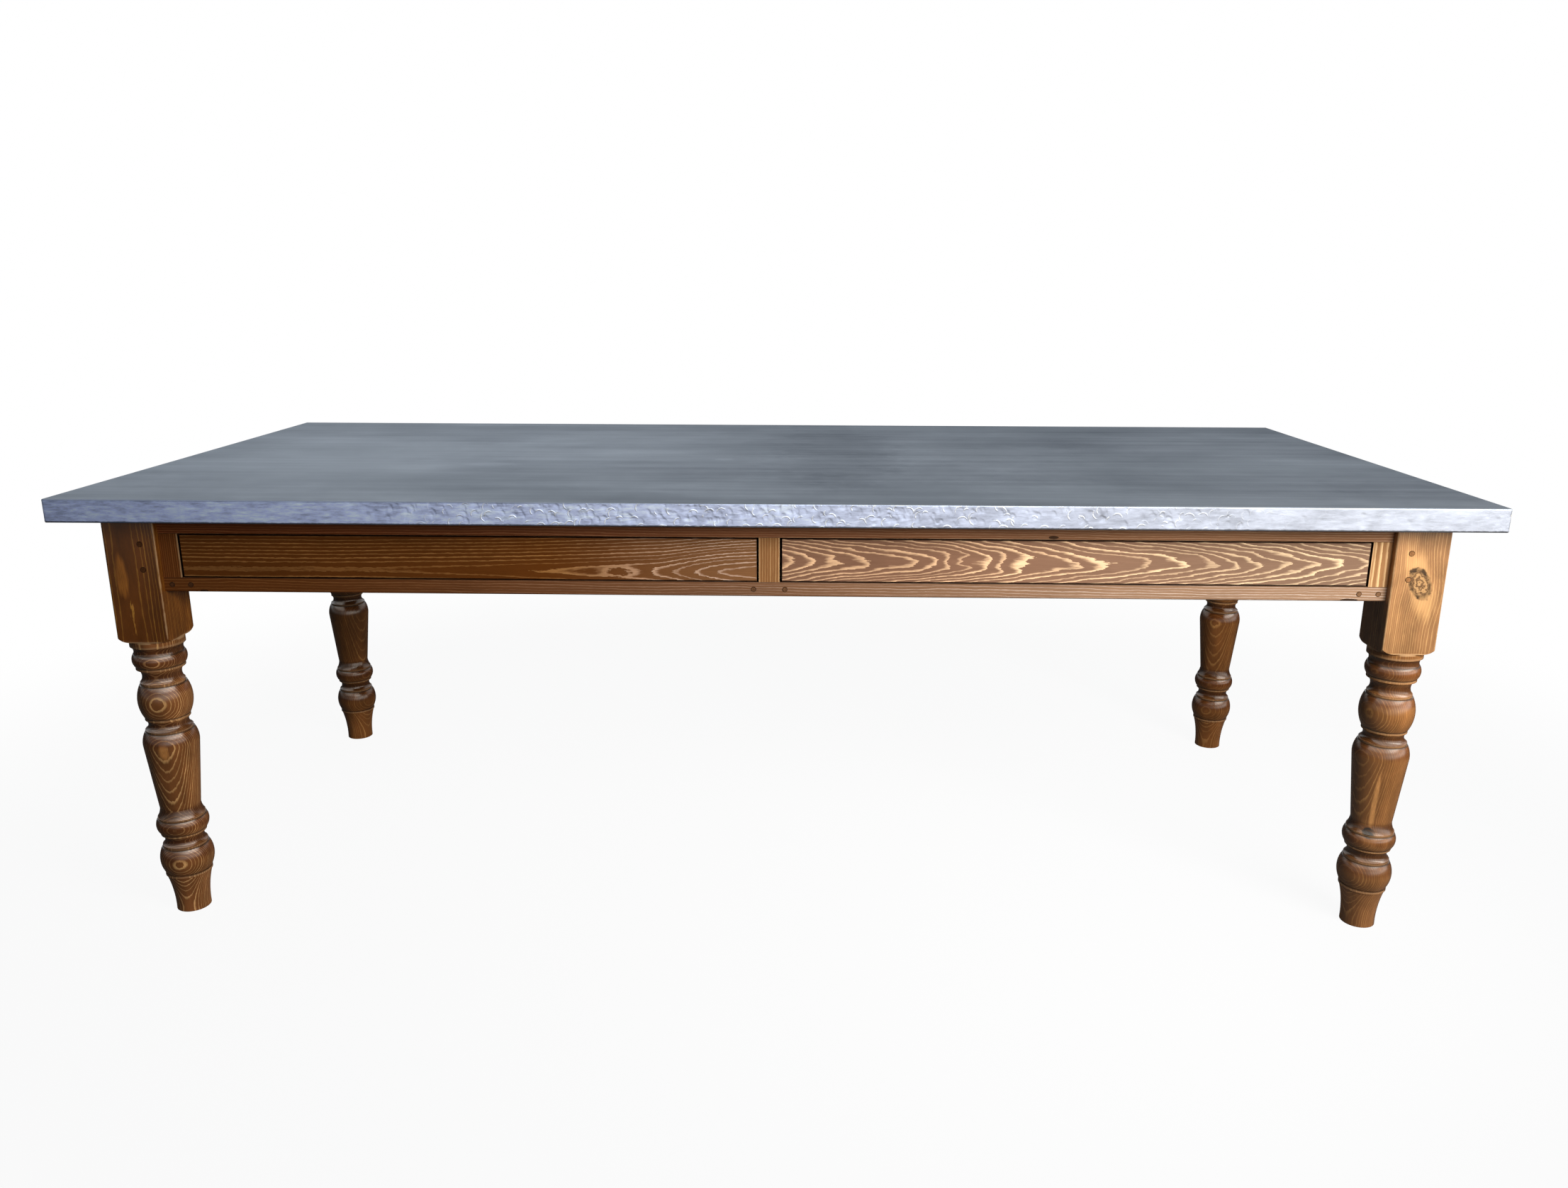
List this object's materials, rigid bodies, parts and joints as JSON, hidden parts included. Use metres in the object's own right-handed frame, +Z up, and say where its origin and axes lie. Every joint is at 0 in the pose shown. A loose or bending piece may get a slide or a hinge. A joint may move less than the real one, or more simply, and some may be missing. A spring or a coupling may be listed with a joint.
{
  "type": "kitchen table",
  "caption": "Long kitchen table with a hammered-edge zinc top, stained pine frame with pegged joints, flush drawers in the front and heavy turned legs.",
  "frame": {"origin": "on the floor under the middle of the table", "axes": "+X along the length of the table, +Z up, the drawers open towards -Y"},
  "size_m": [2.286, 1.016, 0.762],
  "materials": {
    "zinc": "patinated matte zinc, hammered along its edge",
    "core_board": "bare softwood board",
    "leg_pine": "stained and waxed turned pine",
    "frame_pine": "stained and waxed pine",
    "drawer_front_pine": "stained and waxed pine with cathedral grain",
    "peg_wood": "dark stained end grain",
    "bare_pine": "planed, bare pine",
    "fastener_steel": "dull plated steel"
  },
  "bodies": {
    "frame": {"back_apron": "frame_pine", "button_screws": "fastener_steel", "centre_guide": "bare_pine", "centre_kicker": "bare_pine", "centre_runner": "bare_pine", "centre_stile": "frame_pine", "core_batten": "core_board", "core_panel": "core_board", "core_strip_back": "core_board", "core_strip_front": "core_board", "core_strip_left": "core_board", "core_strip_right": "core_board", "drawer_stops": "bare_pine", "front_bottom_rail": "frame_pine", "front_top_rail": "frame_pine", "kicker_screws": "fastener_steel", "left_apron": "frame_pine", "left_guide": "bare_pine", "left_kicker": "bare_pine", "left_runner": "bare_pine", "left_stile": "frame_pine", "leg_back_left": "leg_pine", "leg_back_right": "leg_pine", "leg_front_left": "leg_pine", "leg_front_right": "leg_pine", "leg_pegs": "peg_wood", "lip_tacks": "fastener_steel", "right_apron": "frame_pine", "right_guide": "bare_pine", "right_kicker": "bare_pine", "right_runner": "bare_pine", "right_stile": "frame_pine", "runner_dowels": "peg_wood", "top_buttons": "bare_pine", "zinc_cladding": "zinc"},
    "left_drawer": {"left_drawer_back": "bare_pine", "left_drawer_bottom": "bare_pine", "left_drawer_front": "drawer_front_pine", "left_drawer_inner_side": "bare_pine", "left_drawer_outer_side": "bare_pine", "left_drawer_screws": "fastener_steel"},
    "right_drawer": {"right_drawer_back": "bare_pine", "right_drawer_bottom": "bare_pine", "right_drawer_front": "drawer_front_pine", "right_drawer_inner_side": "bare_pine", "right_drawer_outer_side": "bare_pine", "right_drawer_screws": "fastener_steel"}
  },
  "joints": [
    {"name": "left_drawer_slide", "type": "slide", "parent": "frame", "child": "left_drawer", "axis": [0, -1, 0], "range_m": [0, 0.42]},
    {"name": "right_drawer_slide", "type": "slide", "parent": "frame", "child": "right_drawer", "axis": [0, -1, 0], "range_m": [0, 0.42]}
  ]
}
